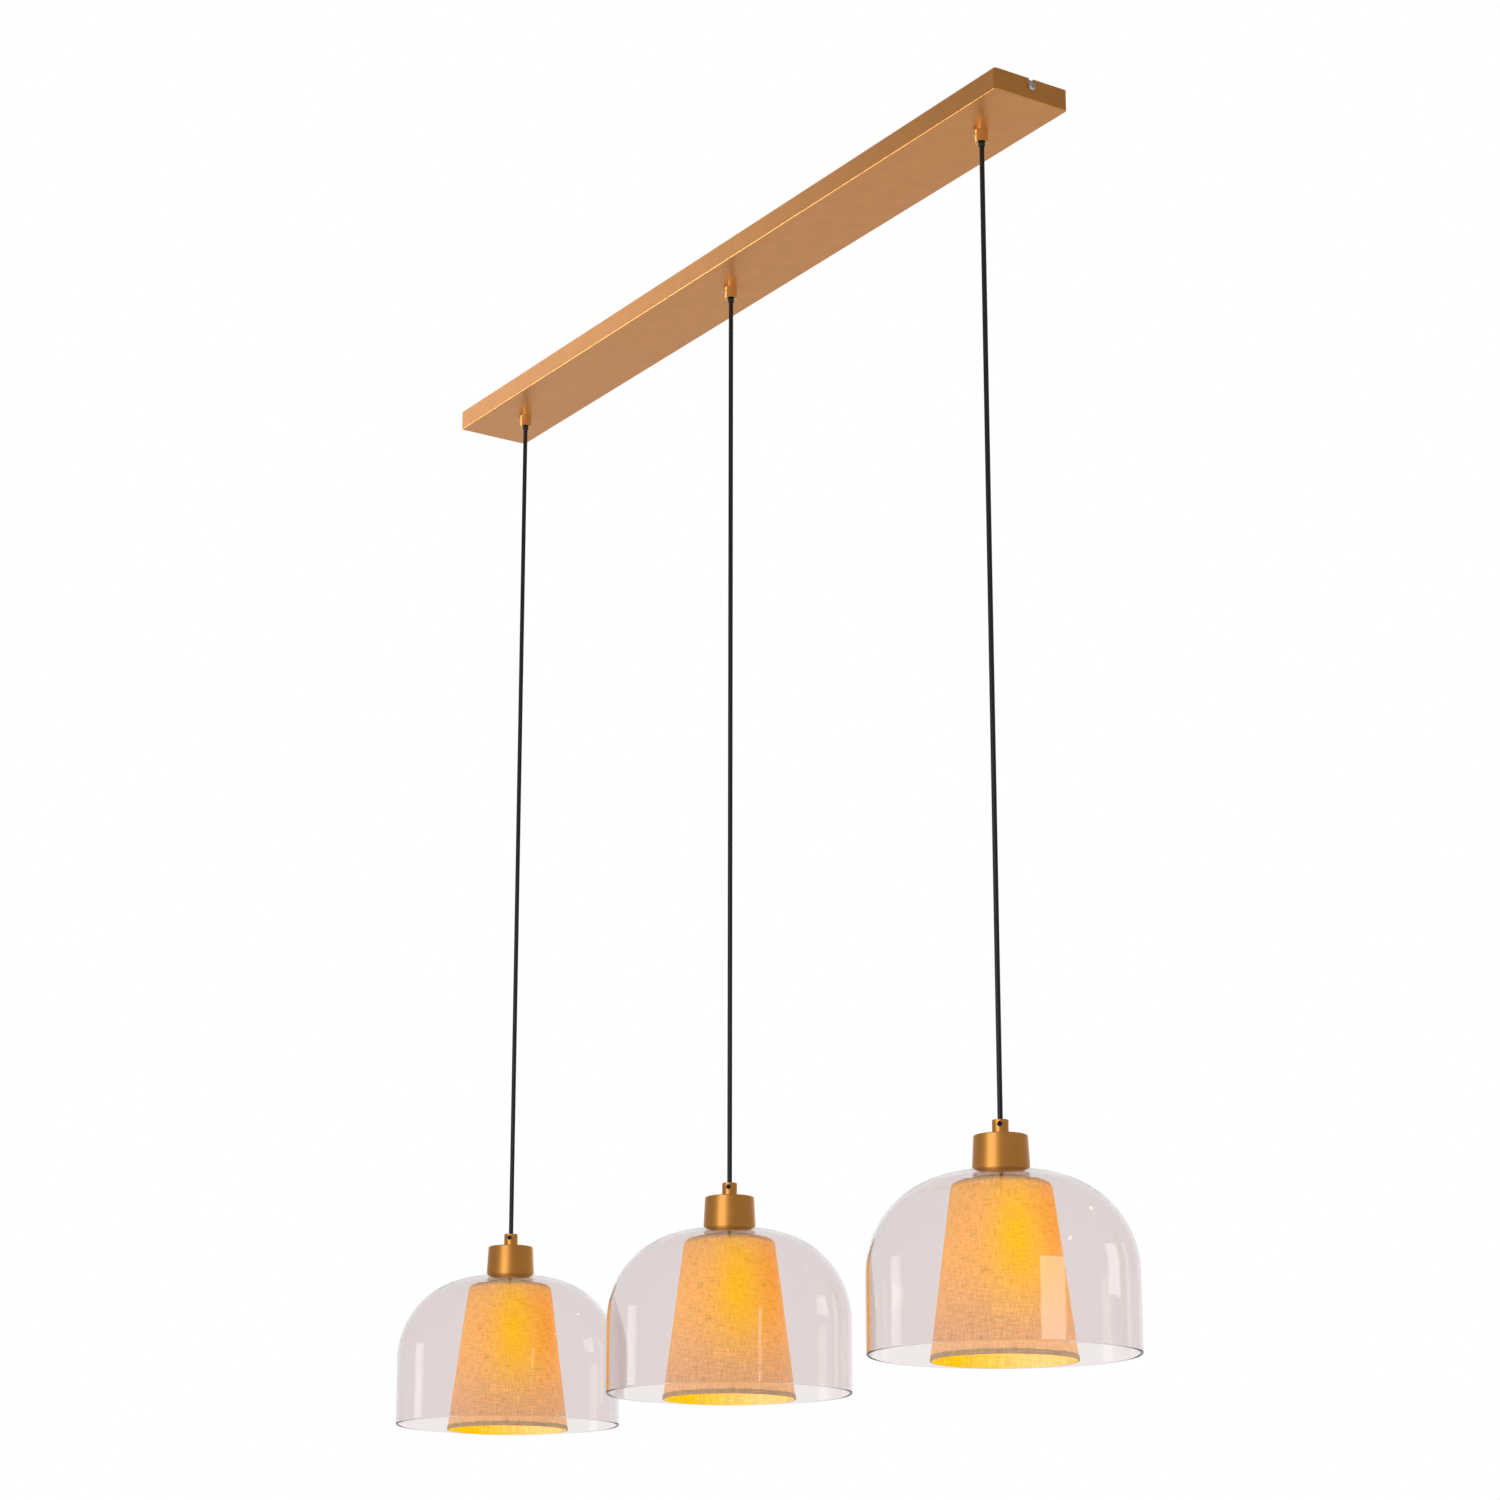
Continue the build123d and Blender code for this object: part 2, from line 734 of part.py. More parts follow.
box_far_end = box_x + box_length / 2
box_entry_y = 9.0
box_run = 20.0             # the last run, square to the box
# Points on the floor, in the canopy's own X and Y, from the grip's side towards the box
left_floor = [
    (-388.0, 14.0), (-330.0, 22.0), (-268.0, 24.0), (-206.0, 16.0), (-146.0, 20.0),
    (-88.0, 27.5), (-30.0, 27.0), (28.0, 20.0), (box_near_end - box_run, box_entry_y),
    (box_near_end, box_entry_y),
]
middle_floor = [(box_near_end - box_run, -box_entry_y), (box_near_end, -box_entry_y)]
right_floor = [
    (388.0, -15.0), (330.0, -20.0), (270.0, -16.0), (222.0, -7.0), (box_far_end + box_run, 0.0),
    (box_far_end, 0.0),
]


def tail_radii(points):
    """The largest arc at each corner that its two runs leave room for."""
    spots = [Vector(*point) for point in points]
    radii = []
    for before, here, after in zip(spots, spots[1:], spots[2:]):
        run_in = here - before
        run_out = after - here
        turn = math.radians(run_in.get_angle(run_out))
        shorter = min(run_in.length, run_out.length)
        radii.append(tail_arc_share * shorter / math.tan(turn / 2))
    return radii


def cord_tail(name, points):
    radii = tail_radii(points)
    print(name, "bend radii:", ", ".join(f"{radius:.1f}" for radius in radii))
    path = FilletPolyline(*points, radius=radii)
    section = Plane(path @ 0, z_dir=path % 0) * Circle(cord_radius)
    tail = sweep(section, path)
    expected = math.pi * cord_radius**2 * path.length
    print(f"{name} length {path.length:.1f} mm, volume {tail.volume:.0f} of {expected:.0f} mm3")
    return tail


def tail_points(grip_x, direction, side, floor_points):
    start = [(grip_x + direction * x, side * y, level) for x, y, level in tail_bend + tail_fall]
    return start + [(x, y, tail_floor) for x, y in floor_points]


tail_routes = {
    "left": tail_points(pendant_places["left"], 1, 1, left_floor),
    "middle": tail_points(pendant_places["middle"], 1, -1, middle_floor),
    "right": tail_points(pendant_places["right"], -1, -1, right_floor),
}

save("ceiling_bracket", ceiling_bracket())
save("canopy_tray", canopy_tray())
screw_x = canopy_length / 2 + body_gap
save("end_screw_left", Pos(-screw_x, 0, -end_screw_depth) * Rot(0, -90, 0) * end_screw())
save("end_screw_right", Pos(screw_x, 0, -end_screw_depth) * Rot(0, 90, 0) * end_screw())
save("junction_box", junction_box())
save("junction_lid", junction_lid())
save("lid_screws", lid_screws())
save("earth_stud", earth_stud())
save("earth_nut", earth_nut())

grip_nut = hexagon_nut(nut_across_flats, thread_radius + running_fit, canopy_floor, nut_height)
save("grip_nuts", Compound([Pos(x, 0, 0) * grip_nut for x in pendant_places.values()]))
save("grip_side_screws", Compound([Pos(x, 0, 0) * side_screw() for x in pendant_places.values()]))

pendant_pieces = {
    "grip_body": grip_body(),
    "grip_ball": grip_ball(),
    "cord_bush": cord_bush(),
    "cord": hanging_cord(),
    "cord_cap": cord_cap(),
    "cap_grub_screw": grub_screw(),
    "cup": cup(),
    "lampholder": lampholder(),
    "lampholder_contacts": lampholder_contacts(),
    "shade_rings": shade_rings(),
    "glass_dome": glass_dome(),
    "shade_fitter": shade_fitter(),
    "linen_shade": linen_shade(),
    "bulb_cap": bulb_cap(),
    "bulb_globe": bulb_globe(),
}
for place, x in pendant_places.items():
    for piece, shape in pendant_pieces.items():
        save(place + "_" + piece, Pos(x, 0, 0) * shape)
    save(place + "_cord_tail", cord_tail(place, tail_routes[place]))
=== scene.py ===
"""Finish, light and camera for a linear island pendant with three glass and linen shades."""

import json
import math

import bmesh
import bpy
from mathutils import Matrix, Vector

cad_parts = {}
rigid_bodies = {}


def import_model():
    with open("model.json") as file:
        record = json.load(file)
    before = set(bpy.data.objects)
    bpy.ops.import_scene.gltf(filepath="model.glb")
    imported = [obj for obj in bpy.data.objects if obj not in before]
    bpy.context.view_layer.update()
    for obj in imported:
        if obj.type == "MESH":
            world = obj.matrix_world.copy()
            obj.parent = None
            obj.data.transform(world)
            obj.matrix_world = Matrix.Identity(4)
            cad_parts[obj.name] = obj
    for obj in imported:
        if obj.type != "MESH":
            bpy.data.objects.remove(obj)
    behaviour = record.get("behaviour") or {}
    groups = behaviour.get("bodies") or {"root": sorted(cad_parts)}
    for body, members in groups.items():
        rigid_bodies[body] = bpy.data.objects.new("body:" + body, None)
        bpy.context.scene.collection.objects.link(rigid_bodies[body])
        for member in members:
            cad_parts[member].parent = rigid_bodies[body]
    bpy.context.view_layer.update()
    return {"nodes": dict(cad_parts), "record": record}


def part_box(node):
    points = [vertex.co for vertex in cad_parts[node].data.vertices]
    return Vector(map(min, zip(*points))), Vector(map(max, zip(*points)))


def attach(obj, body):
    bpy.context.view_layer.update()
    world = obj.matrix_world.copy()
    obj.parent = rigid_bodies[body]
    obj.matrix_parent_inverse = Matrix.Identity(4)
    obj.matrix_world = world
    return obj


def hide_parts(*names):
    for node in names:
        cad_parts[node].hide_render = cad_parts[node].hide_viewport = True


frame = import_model()

MM = 0.001
places = ("left", "middle", "right")

# How finely a piece is made
round_steps = 160                       # faces round a turned piece
merge_distance = 1e-6                   # metres
hold_distance = 0.4                     # millimetres from the end of a long straight run to its loop
shortest_held_run = 6 * hold_distance
smooth_angle = math.radians(32)         # an edge that turns further is sharp
flat_angle = math.radians(0.5)          # faces that turn less are one flat face
bevel_angle = math.radians(40)          # an edge that turns further is broken

# Sizes in millimetres that the frame doesn't give
cord_diameter = 5.6
cord_spacing = 510.0
dome_wall = 3.0
dome_shoulder_radius = 102.0
dome_crown_radius = 240.0
dome_land_radius = 31.0
dome_bore_radius = 20.0
linen_wall = 1.4
linen_shoulder_radius = 8.0
linen_top_diameter = 103.2
linen_bottom_diameter = 151.0
hem_height = 5.0
hem_proud = 0.5
cup_wall = 1.5
cup_edge_radius = 2.2
cup_foot_radius = 0.4
cup_bore_radius = 5.25
bulb_radius = 30.0
bulb_neck_radius = 14.0
bulb_wall = 1.0


# ---------------------------------------------------------------- shapes

def arc(centre_radius, centre_level, radius, start, end, steps):
    """Points along an arc, as (distance from the axis, level), with angles in degrees from level outwards."""
    points = []
    for step in range(steps + 1):
        angle = math.radians(start + (end - start) * step / steps)
        points.append((centre_radius + radius * math.cos(angle), centre_level + radius * math.sin(angle)))
    return points


def rounded(outline, radii, steps):
    """An open outline with its inner corners rounded by the radii in turn."""
    points = [outline[0]]
    for before, here, after, radius in zip(outline, outline[1:], outline[2:], radii):
        corner = Vector(here)
        back = (Vector(before) - corner).normalized()
        ahead = (Vector(after) - corner).normalized()
        half = back.angle(ahead) / 2
        start = corner + back * radius / math.tan(half)
        end = corner + ahead * radius / math.tan(half)
        centre = corner + (back + ahead).normalized() * radius / math.sin(half)
        for step in range(steps + 1):
            ray = (start - centre).slerp(end - centre, step / steps)
            points.append(tuple(centre + ray))
    points.append(outline[-1])
    return points


def held_straight(outline):
    """Adds points to every long run, two of them close to its ends, so that its shading stays straight."""
    points = []
    for start, end in zip(outline, outline[1:]):
        points.append(start)
        run = math.dist(start, end)
        if run > shortest_held_run:
            for share in (hold_distance / run, 0.5, 1 - hold_distance / run):
                points.append(tuple(a + (b - a) * share for a, b in zip(start, end)))
    return points + [outline[-1]]


def turned(name, outline, axis_x):
    """Spins a closed outline, in millimetres, round an upright axis at axis_x metres."""
    outline = held_straight(outline + outline[:1])[:-1]
    shape = bmesh.new()
    corners = [shape.verts.new((radius * MM, 0, level * MM)) for radius, level in outline]
    edges = [shape.edges.new(pair) for pair in zip(corners, corners[1:] + corners[:1])]
    bmesh.ops.spin(
        shape, geom=corners + edges, cent=(0, 0, 0), axis=(0, 0, 1), angle=2 * math.pi,
        steps=round_steps, use_merge=True,
    )
    bmesh.ops.remove_doubles(shape, verts=shape.verts, dist=merge_distance)
    bmesh.ops.translate(shape, verts=shape.verts, vec=(axis_x, 0, 0))
    return new_piece(name, shape)


def new_piece(name, shape):
    """Turns a bmesh into an object, with normals outwards, smooth faces and its sharp edges kept."""
    bmesh.ops.recalc_face_normals(shape, faces=shape.faces)
    for face in shape.faces:
        face.smooth = True
    for edge in shape.edges:
        edge.smooth = len(edge.link_faces) != 2 or edge.calc_face_angle() < smooth_angle
    mesh = bpy.data.meshes.new(name)
    shape.to_mesh(mesh)
    shape.free()
    piece = bpy.data.objects.new(name, mesh)
    bpy.context.scene.collection.objects.link(piece)
    return piece


def body_of(node):
    for body, members in frame["record"]["behaviour"]["bodies"].items():
        if node in members:
            return body
    raise ValueError(node)


def stand_for(piece, node):
    """Lets a piece ride with the node's body, in the node's place, and hides the node."""
    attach(piece, body_of(node))
    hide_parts(node)


def dress(piece, node, material):
    """Gives a piece its one finish and lets it stand for the node."""
    piece.data.materials.clear()
    piece.data.materials.append(material)
    stand_for(piece, node)


def machined(node, name, material, edge=0.0):
    """A smooth copy of a machined or moulded piece, with its sharp edges broken by edge millimetres."""
    shape = bmesh.new()
    shape.from_mesh(frame["nodes"][node].data)
    bmesh.ops.remove_doubles(shape, verts=shape.verts, dist=merge_distance)
    if edge:
        bmesh.ops.dissolve_limit(
            shape, angle_limit=flat_angle, verts=shape.verts, edges=shape.edges, use_dissolve_boundaries=False
        )
    piece = new_piece(name, shape)
    if edge:
        bevel = piece.modifiers.new("edge", "BEVEL")
        bevel.width = edge * MM
        bevel.segments = 2
        bevel.limit_method = "ANGLE"
        bevel.angle_limit = bevel_angle
    weighted = piece.modifiers.new("flats", "WEIGHTED_NORMAL")
    weighted.keep_sharp = True
    dress(piece, node, material)


# ---------------------------------------------------------------- shader nodes

# A mix node's places for its share and two values, and for its result
mix_sockets = {"FLOAT": (0, 2, 3, 0), "RGBA": (0, 6, 7, 2)}


def add(tree, kind, **values):
    """Adds a node. Each value goes to the socket of that name, or else to the node's own setting."""
    node = tree.nodes.new(kind)
    for key, value in values.items():
        if key in node.inputs:
            node.inputs[key].default_value = value
        else:
            setattr(node, key, value)
    return node


def feed(tree, socket, value):
    """Joins a socket to another node's output, or sets it to a fixed value."""
    if isinstance(value, bpy.types.NodeSocket):
        tree.links.new(value, socket)
    else:
        socket.default_value = value


def maths(tree, operation, first, second):
    node = add(tree, "ShaderNodeMath", operation=operation)
    feed(tree, node.inputs[0], first)
    feed(tree, node.inputs[1], second)
    return node.outputs["Value"]


def mixed(tree, share, first, second, data_type="RGBA", blend_type="MIX"):
    """Goes from the first to the second by a share, or blends them another way."""
    node = add(tree, "ShaderNodeMix", data_type=data_type, blend_type=blend_type)
    *inputs, output = mix_sockets[data_type]
    for index, value in zip(inputs, (share, first, second)):
        feed(tree, node.inputs[index], value)
    return node.outputs[output]


def carried(tree, value, from_low, from_high, to_low=0.0, to_high=1.0, curve="LINEAR"):
    """A value carried from one range to another and held at its ends."""
    node = add(tree, "ShaderNodeMapRange", interpolation_type=curve)
    feed(tree, node.inputs["Value"], value)
    feed(tree, node.inputs["From Min"], from_low)
    feed(tree, node.inputs["From Max"], from_high)
    feed(tree, node.inputs["To Min"], to_low)
    feed(tree, node.inputs["To Max"], to_high)
    return node.outputs["Result"]


def seen_by_eye(tree):
    """1 for what the camera sees, straight or through glass, and 0 for what lights or is mirrored."""
    path = add(tree, "ShaderNodeLightPath")
    return maths(tree, "MAXIMUM", path.outputs["Is Camera Ray"], path.outputs["Is Transmission Ray"])


def relief(tree, shader, height, strength, depth):
    """Raises the surface by a height from 0 to 1, with its depth in metres."""
    bump = add(tree, "ShaderNodeBump", Strength=strength, Distance=depth)
    feed(tree, bump.inputs["Height"], height)
    feed(tree, shader.inputs["Normal"], bump.outputs["Normal"])


# ---------------------------------------------------------------- finishes

def finish_of(name, colour, roughness, metallic=0.0):
    material = bpy.data.materials.new(name)
    material.use_nodes = True
    shader = material.node_tree.nodes["Principled BSDF"]
    shader.inputs["Base Color"].default_value = (*colour, 1)
    shader.inputs["Roughness"].default_value = roughness
    shader.inputs["Metallic"].default_value = metallic
    return material, shader


def grain(material, shader, colour, other_colour, roughness, size, depth):
    """Faint clouds of colour, uneven gloss and a fine grain, with the grain's size and depth in metres."""
    cloud_size = 20 * size
    cloud_edges = (0.35, 0.65)
    gloss_spread = 0.1
    tree = material.node_tree
    coordinates = add(tree, "ShaderNodeTexCoord").outputs["Object"]
    clouds = add(tree, "ShaderNodeTexNoise", Scale=1 / cloud_size, Detail=3.0)
    fine = add(tree, "ShaderNodeTexNoise", Scale=1 / size, Detail=3.0)
    feed(tree, clouds.inputs["Vector"], coordinates)
    feed(tree, fine.inputs["Vector"], coordinates)
    tint = add(tree, "ShaderNodeValToRGB")
    for element, tone, edge in zip(tint.color_ramp.elements, (colour, other_colour), cloud_edges):
        element.color = (*tone, 1)
        element.position = edge
    feed(tree, tint.inputs["Fac"], clouds.outputs["Fac"])
    feed(tree, shader.inputs["Base Color"], tint.outputs["Color"])
    smoothest = roughness * (1 - gloss_spread)
    roughest = roughness * (1 + gloss_spread)
    gloss = carried(tree, fine.outputs["Fac"], 0.0, 1.0, smoothest, roughest)
    feed(tree, shader.inputs["Roughness"], gloss)
    relief(tree, shader, fine.outputs["Fac"], strength=0.2, depth=depth)


def scaled(colour, share):
    return tuple(min(1.0, channel * share) for channel in colour)


def metallic_paint(name, colour, roughness, coat, depth=0.00003):
    """Metallic flakes under a thin clear coat."""
    material, shader = finish_of(name, colour, roughness, metallic=1.0)
    shader.inputs["Coat Weight"].default_value = coat
    shader.inputs["Coat Roughness"].default_value = 0.28
    grain(material, shader, colour, scaled(colour, 0.94), roughness, size=0.0011, depth=depth)
    return material


def plain_metal(name, colour, roughness):
    material, shader = finish_of(name, colour, roughness, metallic=1.0)
    grain(material, shader, scaled(colour, 0.9), colour, roughness, size=0.0008, depth=0.00004)
    return material


def moulding(name, colour, roughness):
    material, shader = finish_of(name, colour, roughness)
    grain(material, shader, colour, scaled(colour, 1.06), roughness, size=0.0006, depth=0.00004)
    return material


def clear_glass():
    """Blown glass with a faint warm grey body colour."""
    material, shader = finish_of("clear_glass", (0.865, 0.815, 0.805), 0.0)
    shader.inputs["Transmission Weight"].default_value = 1.0
    shader.inputs["IOR"].default_value = 1.22
    shader.inputs["Specular IOR Level"].default_value = 1.0
    return material


def opal_glass():
    material, shader = finish_of("opal_glass", (0.95, 0.88, 0.72), 0.25)
    shader.inputs["Emission Color"].default_value = (1.0, 0.76, 0.36, 1)
    shader.inputs["Emission Strength"].default_value = 0.4
    return material


def threads(tree, coordinates, count_round, count_up, bottom, top, detail):
    """Streaks, so many round the shade and so many up it: 0 where the noise is under bottom, 1 over top."""
    stretch = add(tree, "ShaderNodeMapping", Scale=(count_round, count_up, 1.0))
    noise = add(tree, "ShaderNodeTexNoise", Scale=1.0, Detail=detail)
    feed(tree, stretch.inputs["Vector"], coordinates)
    feed(tree, noise.inputs["Vector"], stretch.outputs["Vector"])
    return carried(tree, noise.outputs["Fac"], bottom, top)


def painted_light_spot(tree, lit, way_round, height, spot):
    """Lays one soft patch of painted light, a hot spot from the bulb, over the lit cloth."""
    colour, spot_way_round, spot_height, reach_round, reach_up = spot
    around = maths(tree, "DIVIDE", maths(tree, "SUBTRACT", way_round, spot_way_round), reach_round)
    level = maths(tree, "DIVIDE", maths(tree, "SUBTRACT", height, spot_height), reach_up)
    around_squared = maths(tree, "MULTIPLY", around, around)
    level_squared = maths(tree, "MULTIPLY", level, level)
    distance = maths(tree, "ADD", around_squared, level_squared)
    share = maths(tree, "POWER", math.e, maths(tree, "MULTIPLY", distance, -1.0))
    return mixed(tree, share, lit, (*colour, 1))


def linen_cloth(name, low, high, glow, painted_light_spots=(), slubs=0.3):
    """Linen with painted light from the bulb inside: its colour runs from the low one to the high one,
    carries painted hot spots, and glows with that colour as a painted glow of strength glow. The piece's own
    map gives the way round and the height, both from 0 to 1. A spot is (colour, way round, height, reach
    round, reach up) on that map."""
    material, shader = finish_of(name, high, 0.9)
    shader.inputs["Sheen Weight"].default_value = 0.1
    tree = material.node_tree
    coordinates = add(tree, "ShaderNodeTexCoord").outputs["UV"]
    split = add(tree, "ShaderNodeSeparateXYZ")
    feed(tree, split.inputs["Vector"], coordinates)
    way_round = split.outputs["X"]
    height = split.outputs["Y"]

    warp = threads(tree, coordinates, 330.0, 14.0, bottom=0.3, top=0.7, detail=1.0)
    weft = threads(tree, coordinates, 30.0, 150.0, bottom=0.3, top=0.7, detail=1.0)
    warp_slubs = threads(tree, coordinates, 300.0, 40.0, bottom=0.60, top=0.72, detail=0.0)
    weft_slubs = threads(tree, coordinates, 70.0, 150.0, bottom=0.62, top=0.74, detail=0.0)
    weave = maths(tree, "MULTIPLY", maths(tree, "ADD", warp, weft), 0.5)
    flecks = maths(tree, "MAXIMUM", warp_slubs, weft_slubs)

    high_colour_height = 0.6
    shoulder_height = 0.962
    shoulder_painted_shade_level = 0.2
    gap_shade = 0.70
    thread_shade = 1.18
    fleck_colour = (0.76, 0.62, 0.52, 1)
    # Painted light: the cloth runs from its low colour at the bottom to its high one higher up, with hot
    # spots laid on it, as the bulb inside lights it.
    rise = carried(tree, height, 0.0, high_colour_height, curve="SMOOTHSTEP")
    lit = mixed(tree, rise, (*low, 1), (*high, 1))
    for spot in painted_light_spots:
        lit = painted_light_spot(tree, lit, way_round, height, spot)
    thread_light = carried(tree, weave, 0.0, 1.0, gap_shade, thread_shade)
    # Painted shade: the cloth darkens over the top of the shoulder, where it turns over.
    shoulder_painted_shade = carried(tree, height, shoulder_height, 1.0, 1.0, shoulder_painted_shade_level)
    woven = mixed(tree, 1.0, lit, maths(tree, "MULTIPLY", thread_light, shoulder_painted_shade), blend_type="MULTIPLY")
    cloth = mixed(tree, maths(tree, "MULTIPLY", flecks, slubs), woven, fleck_colour, blend_type="MULTIPLY")
    feed(tree, shader.inputs["Base Color"], cloth)
    # The same colour is the cloth's emission: a painted glow that stands for the bulb's light shining
    # through.
    feed(tree, shader.inputs["Emission Color"], cloth)
    shader.inputs["Emission Strength"].default_value = glow
    relief(tree, shader, weave, strength=0.3, depth=0.0003)
    return material


# Each painted finish is given its colour, roughness and coat, and the others their colour and roughness
gold = metallic_paint("gold_paint", (0.82, 0.33, 0.055), 0.36, 0.7)
turned_gold = metallic_paint("gold_paint_turned", (0.85, 0.56, 0.24), 0.3, 0.3)
satin_gold = metallic_paint("satin_gold", (0.85, 0.37, 0.07), 0.4, 0.45, depth=0.00002)
bronze = metallic_paint("bronze_paint", (0.80, 0.42, 0.19), 0.4, 0.3)
zinc = plain_metal("zinc_steel", (0.60, 0.61, 0.62), 0.35)
bright_steel = plain_metal("screw_steel", (0.72, 0.72, 0.72), 0.22)
black_steel = moulding("black_steel", (0.008, 0.008, 0.008), 0.5)
brass = plain_metal("brass", (0.78, 0.55, 0.22), 0.28)
bulb_metal = plain_metal("bulb_metal", (0.74, 0.74, 0.75), 0.25)
black_plastic = moulding("black_plastic", (0.010, 0.010, 0.010), 0.45)
white_plastic = moulding("white_plastic", (0.72, 0.70, 0.66), 0.5)
white_wire = moulding("white_wire", (0.70, 0.66, 0.60), 0.4)
black_cord = finish_of("black_cord", (0.005, 0.005, 0.006), 0.4)[0]
glass = clear_glass()
opal = opal_glass()
# Painted light from the bulb: the linen is darker and pinker low down and brighter higher up, has two warm
# hot spots, and glows with that colour as painted glow.
linen = linen_cloth("linen", low=(0.76, 0.42, 0.22), high=(0.92, 0.46, 0.13), glow=0.49, painted_light_spots=[
    ((0.93, 0.36, 0.03), 0.56, 0.74, 0.10, 0.40),
    ((0.99, 0.54, 0.0), 0.435, 0.66, 0.075, 0.36),
])
edge_colour = (0.60, 0.40, 0.23)
# The hem gets a faint painted glow of its own colour.
linen_edge = linen_cloth("linen_edge", edge_colour, edge_colour, glow=0.15)
# Painted light: the lining's deep yellow, its pale hot spot and its glow stand for the bulb lighting it from
# inside.
lit_lining_painted_colour = (0.86, 0.52, 0.0)
linen_lining = linen_cloth("linen_lining", lit_lining_painted_colour, lit_lining_painted_colour, glow=0.6, slubs=0.0, painted_light_spots=[
    ((0.86, 0.63, 0.27), 0.79, 0.0, 0.14, 1.5),
])


# ---------------------------------------------------------------- shade, cup and bulb

def span(node):
    """A round node's axis in metres, and its radius, bottom and top in millimetres."""
    low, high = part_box(node)
    return (low.x + high.x) / 2, (high.x - low.x) / 2 / MM, low.z / MM, high.z / MM


def glass_dome(place):
    """Clear dome: a wall that runs into a shoulder and a crown, a flat land at the neck and a rounded rim."""
    axis_x, radius, rim, neck = span(place + "_glass_dome")
    outer_radius = round(radius)
    crown_level = neck - math.sqrt(dome_crown_radius**2 - dome_land_radius**2)

    def side(inset):
        """The wall from the rim up to the flat land at the neck."""
        shoulder = dome_shoulder_radius - inset
        crown = dome_crown_radius - inset
        shoulder_x = outer_radius - inset - shoulder
        shoulder_level = crown_level + math.sqrt((crown - shoulder) ** 2 - shoulder_x**2)
        turn = math.degrees(math.atan2(shoulder_level - crown_level, shoulder_x))
        land_turn = math.degrees(math.asin((neck - inset - crown_level) / crown))
        points = arc(shoulder_x, shoulder_level, shoulder, 0, turn, steps=36)
        return points + arc(0, crown_level, crown, turn, land_turn, steps=20)[1:]

    lip = dome_wall / 2
    rim_arc = arc(outer_radius - lip, rim + lip, lip, 0, -180, steps=8)
    outline = [(dome_bore_radius, neck)] + side(0)[::-1] + rim_arc + side(dome_wall)
    outline.append((dome_bore_radius, neck - dome_wall))
    piece = turned(place + "_blown_glass", outline, axis_x)
    dress(piece, place + "_glass_dome", glass)


def lay_map(piece, axis_x, bottom, height):
    """Gives each face's corners their way round the axis and their height, both from 0 to 1."""
    mesh = piece.data
    corners = mesh.uv_layers.new(name="UVMap").data
    for face in mesh.polygons:
        face_angle = math.atan2(face.center.y, face.center.x - axis_x)
        for loop in face.loop_indices:
            point = mesh.vertices[mesh.loops[loop].vertex_index].co
            angle = math.atan2(point.y, point.x - axis_x)
            turn = (angle - face_angle + math.pi) % (2 * math.pi) - math.pi
            corners[loop].uv = ((face_angle + turn) / (2 * math.pi) + 0.5, (point.z / MM - bottom) / height)


def linen_shade(place):
    """Linen cone with a rounded shoulder, a hem that stands a little proud, and a lining."""
    axis_x, _, bottom, top = span(place + "_linen_shade")
    height = top - bottom
    lean = math.atan2((linen_bottom_diameter - linen_top_diameter) / 2, height)
    lean_angle = math.degrees(lean)
    lip_radius = linen_top_diameter / 2 - linen_shoulder_radius * math.tan((math.pi / 2 - lean) / 2)
    shoulder_level = top - linen_shoulder_radius
    hem_top = bottom + hem_height

    def wall(offset, level):
        """A point on the cone's side, so far out from its outer face."""
        radius = linen_bottom_diameter / 2 - (level - bottom) * math.tan(lean) + offset / math.cos(lean)
        return (radius, level)

    inner_radius = linen_shoulder_radius - linen_wall
    outer = arc(lip_radius, shoulder_level, linen_shoulder_radius, 90, lean_angle, steps=10)
    inner = arc(lip_radius, shoulder_level, inner_radius, lean_angle, 90, steps=10)
    hem = [
        wall(0, hem_top + hem_proud),
        wall(hem_proud, hem_top),
        wall(hem_proud, bottom + hem_proud),
        wall(0, bottom),
        wall(-linen_wall, bottom),
        wall(-linen_wall - hem_proud, bottom + hem_proud),
        wall(-linen_wall - hem_proud, hem_top),
        wall(-linen_wall, hem_top + hem_proud),
    ]
    piece = turned(place + "_linen", outer + hem + inner, axis_x)
    lay_map(piece, axis_x, bottom, height)

    finishes = {"outside": linen, "hem": linen_edge, "lining": linen_lining}
    for finish in finishes.values():
        piece.data.materials.append(finish)
    inward_share = 0.3      # how squarely a face has to look at the axis to be lining
    for face in piece.data.polygons:
        outward = Vector((face.center.x - axis_x, face.center.y, 0))
        part = "outside"
        if face.normal.dot(outward) < -inward_share * outward.length:
            part = "lining"
        elif face.center.z / MM < hem_top + hem_proud:
            part = "hem"
        face.material_index = list(finishes).index(part)

    piece.visible_glossy = False
    stand_for(piece, place + "_linen_shade")


def cup(place):
    """Gold cup over the neck, open downwards, with the cap's bore in its top."""
    axis_x, radius, bottom, top = span(place + "_cup")
    inner_radius = radius - cup_wall
    ceiling = top - cup_wall
    corners = [
        (cup_bore_radius, top), (radius, top), (radius, bottom),
        (inner_radius, bottom), (inner_radius, ceiling), (cup_bore_radius, ceiling),
    ]
    radii = [cup_edge_radius, cup_foot_radius, cup_foot_radius, cup_edge_radius - cup_wall / 2]
    piece = turned(place + "_brass_cup", rounded(corners, radii, steps=6), axis_x)
    dress(piece, place + "_cup", satin_gold)


